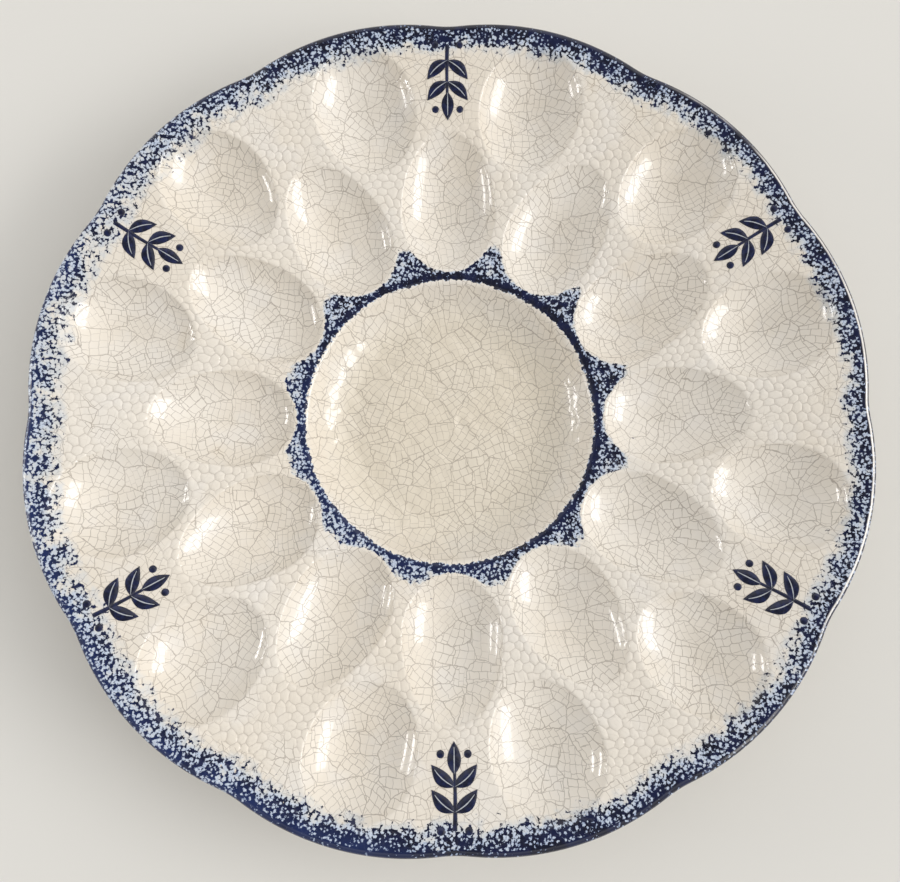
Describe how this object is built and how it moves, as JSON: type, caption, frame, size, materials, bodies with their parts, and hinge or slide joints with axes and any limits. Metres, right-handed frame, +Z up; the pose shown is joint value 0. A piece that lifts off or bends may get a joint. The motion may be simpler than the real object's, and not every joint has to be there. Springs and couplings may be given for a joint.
{
  "type": "deviled egg platter",
  "caption": "Round glazed ceramic platter with a lobed rim, two interlocking rings of egg-shaped wells and a dip dish in the middle, standing on a foot ring.",
  "frame": {"origin": "on the table under the middle of the foot ring", "axes": "+Z up through the middle of the dish, +X through the middle of an inner well"},
  "size_m": [0.336, 0.336, 0.0445],
  "materials": {
    "bare_clay": "unglazed, matt, wiped smooth",
    "crackle_glaze": "glossy cream glaze with fine crazing",
    "cobalt_line": "glossy dark cobalt under the glaze",
    "cobalt_sponge": "glossy cobalt sponged in specks under the glaze",
    "cobalt_brush": "glossy cobalt brushwork under the glaze"
  },
  "bodies": {
    "root": {"foot_ring": "bare_clay", "dip_dish": "crackle_glaze", "inner_egg_ring": "crackle_glaze", "outer_egg_ring": "crackle_glaze", "rim_edge_line": "cobalt_line", "rim_sponge_band": "cobalt_sponge", "collar_edge_line": "cobalt_line", "collar_sponge_tongues": "cobalt_sponge", "leaf_sprigs": "cobalt_brush"}
  },
  "joints": []
}
